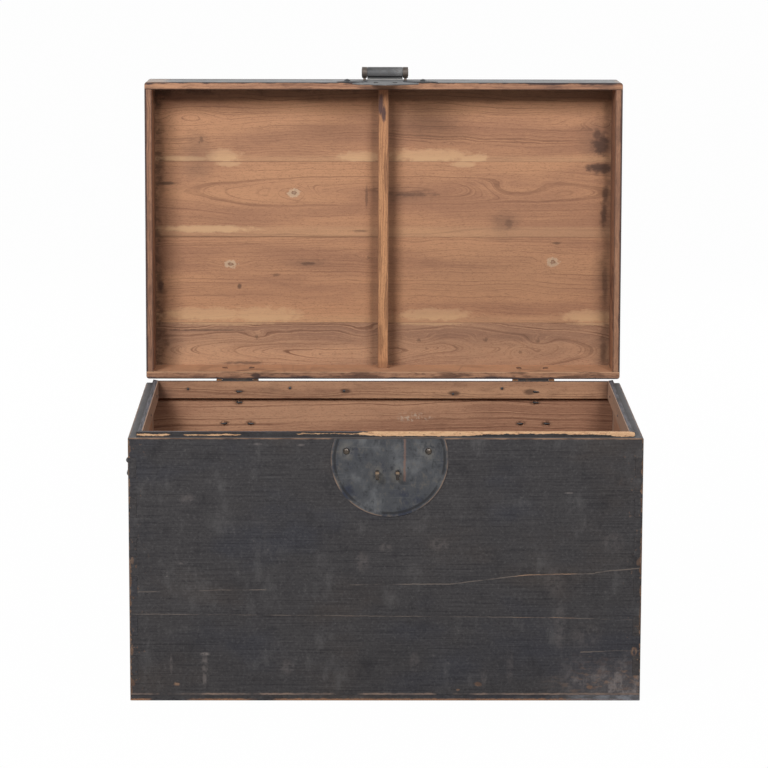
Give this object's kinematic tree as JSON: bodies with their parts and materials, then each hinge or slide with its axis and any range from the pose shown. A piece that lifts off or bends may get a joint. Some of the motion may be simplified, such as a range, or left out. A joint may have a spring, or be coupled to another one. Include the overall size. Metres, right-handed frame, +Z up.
{
  "type": "wooden trunk",
  "caption": "Black-lacquered wooden trunk with a tray lid standing open on strap hinges, a round split lock plate, a slotted hasp over staples and swinging side handles.",
  "frame": {"origin": "centre of the box footprint, on the underside of the bottom planks", "axes": "+Z up, +X to the right seen from the front, the front with the lock plate faces -Y; the lid stands open as stored"},
  "size_m": [0.915, 0.7075, 1.0408],
  "materials": {
    "lacquered_wood": "matt black lacquer, worn to the wood along the edges",
    "bare_wood": "bare aged softwood",
    "dark_metal": "dark blue-grey patina",
    "worn_brass": "tarnished, bright where rubbed"
  },
  "bodies": {
    "box": {"back_board_lower": "lacquered_wood", "back_board_upper": "lacquered_wood", "bottom_plank_back": "lacquered_wood", "bottom_plank_front": "lacquered_wood", "bottom_plank_middle": "lacquered_wood", "front_board_lower": "lacquered_wood", "front_board_upper": "lacquered_wood", "handle_eye_left_back": "worn_brass", "handle_eye_left_front": "worn_brass", "handle_eye_right_back": "worn_brass", "handle_eye_right_front": "worn_brass", "hinge_leaf_box_left": "dark_metal", "hinge_leaf_box_right": "dark_metal", "hinge_nail_box_left_1": "dark_metal", "hinge_nail_box_left_2": "dark_metal", "hinge_nail_box_left_3": "dark_metal", "hinge_nail_box_left_4": "dark_metal", "hinge_nail_box_right_1": "dark_metal", "hinge_nail_box_right_2": "dark_metal", "hinge_nail_box_right_3": "dark_metal", "hinge_nail_box_right_4": "dark_metal", "hinge_pin_left": "dark_metal", "hinge_pin_right": "dark_metal", "left_board_lower": "lacquered_wood", "left_board_upper": "lacquered_wood", "lip_strip_back": "lacquered_wood", "lip_strip_front": "lacquered_wood", "lip_strip_left": "lacquered_wood", "lip_strip_right": "lacquered_wood", "lock_nail_lower_left": "worn_brass", "lock_nail_lower_right": "worn_brass", "lock_plate_lower": "dark_metal", "lock_staple_left": "worn_brass", "lock_staple_right": "worn_brass", "right_board_lower": "lacquered_wood", "right_board_upper": "lacquered_wood"},
    "lid": {"hasp_eye_left": "worn_brass", "hasp_eye_right": "worn_brass", "hasp_pin": "dark_metal", "hinge_leaf_lid_left": "worn_brass", "hinge_leaf_lid_right": "worn_brass", "hinge_nail_lid_left_1": "dark_metal", "hinge_nail_lid_left_2": "dark_metal", "hinge_nail_lid_right_1": "dark_metal", "hinge_nail_lid_right_2": "dark_metal", "lid_batten": "bare_wood", "lid_plank_1": "bare_wood", "lid_plank_2": "bare_wood", "lid_plank_3": "bare_wood", "lid_plank_4": "bare_wood", "lid_skirt_back": "lacquered_wood", "lid_skirt_front": "lacquered_wood", "lid_skirt_left": "lacquered_wood", "lid_skirt_right": "lacquered_wood", "lock_nail_upper_left": "dark_metal", "lock_nail_upper_right": "dark_metal", "lock_plate_upper": "dark_metal"},
    "hasp": {"hasp": "dark_metal"},
    "left_handle": {"handle_bail_left": "dark_metal"},
    "right_handle": {"handle_bail_right": "dark_metal"}
  },
  "joints": [
    {"name": "lid_hinge", "type": "hinge", "parent": "box", "child": "lid", "pos_m": [0, 0.2809, 0.461], "axis": [1, 0, 0], "range_deg": [0, 92]},
    {"name": "hasp_hinge", "type": "hinge", "parent": "lid", "child": "hasp", "pos_m": [0.0026, 0.35111, 1.0308], "axis": [-1, 0, 0], "range_deg": [0, 170]},
    {"name": "left_handle_hinge", "type": "hinge", "parent": "box", "child": "left_handle", "pos_m": [-0.4517, 0, 0.381], "axis": [0, 1, 0], "range_deg": [-8, 185]},
    {"name": "right_handle_hinge", "type": "hinge", "parent": "box", "child": "right_handle", "pos_m": [0.4517, 0, 0.381], "axis": [0, -1, 0], "range_deg": [-8, 185]}
  ]
}
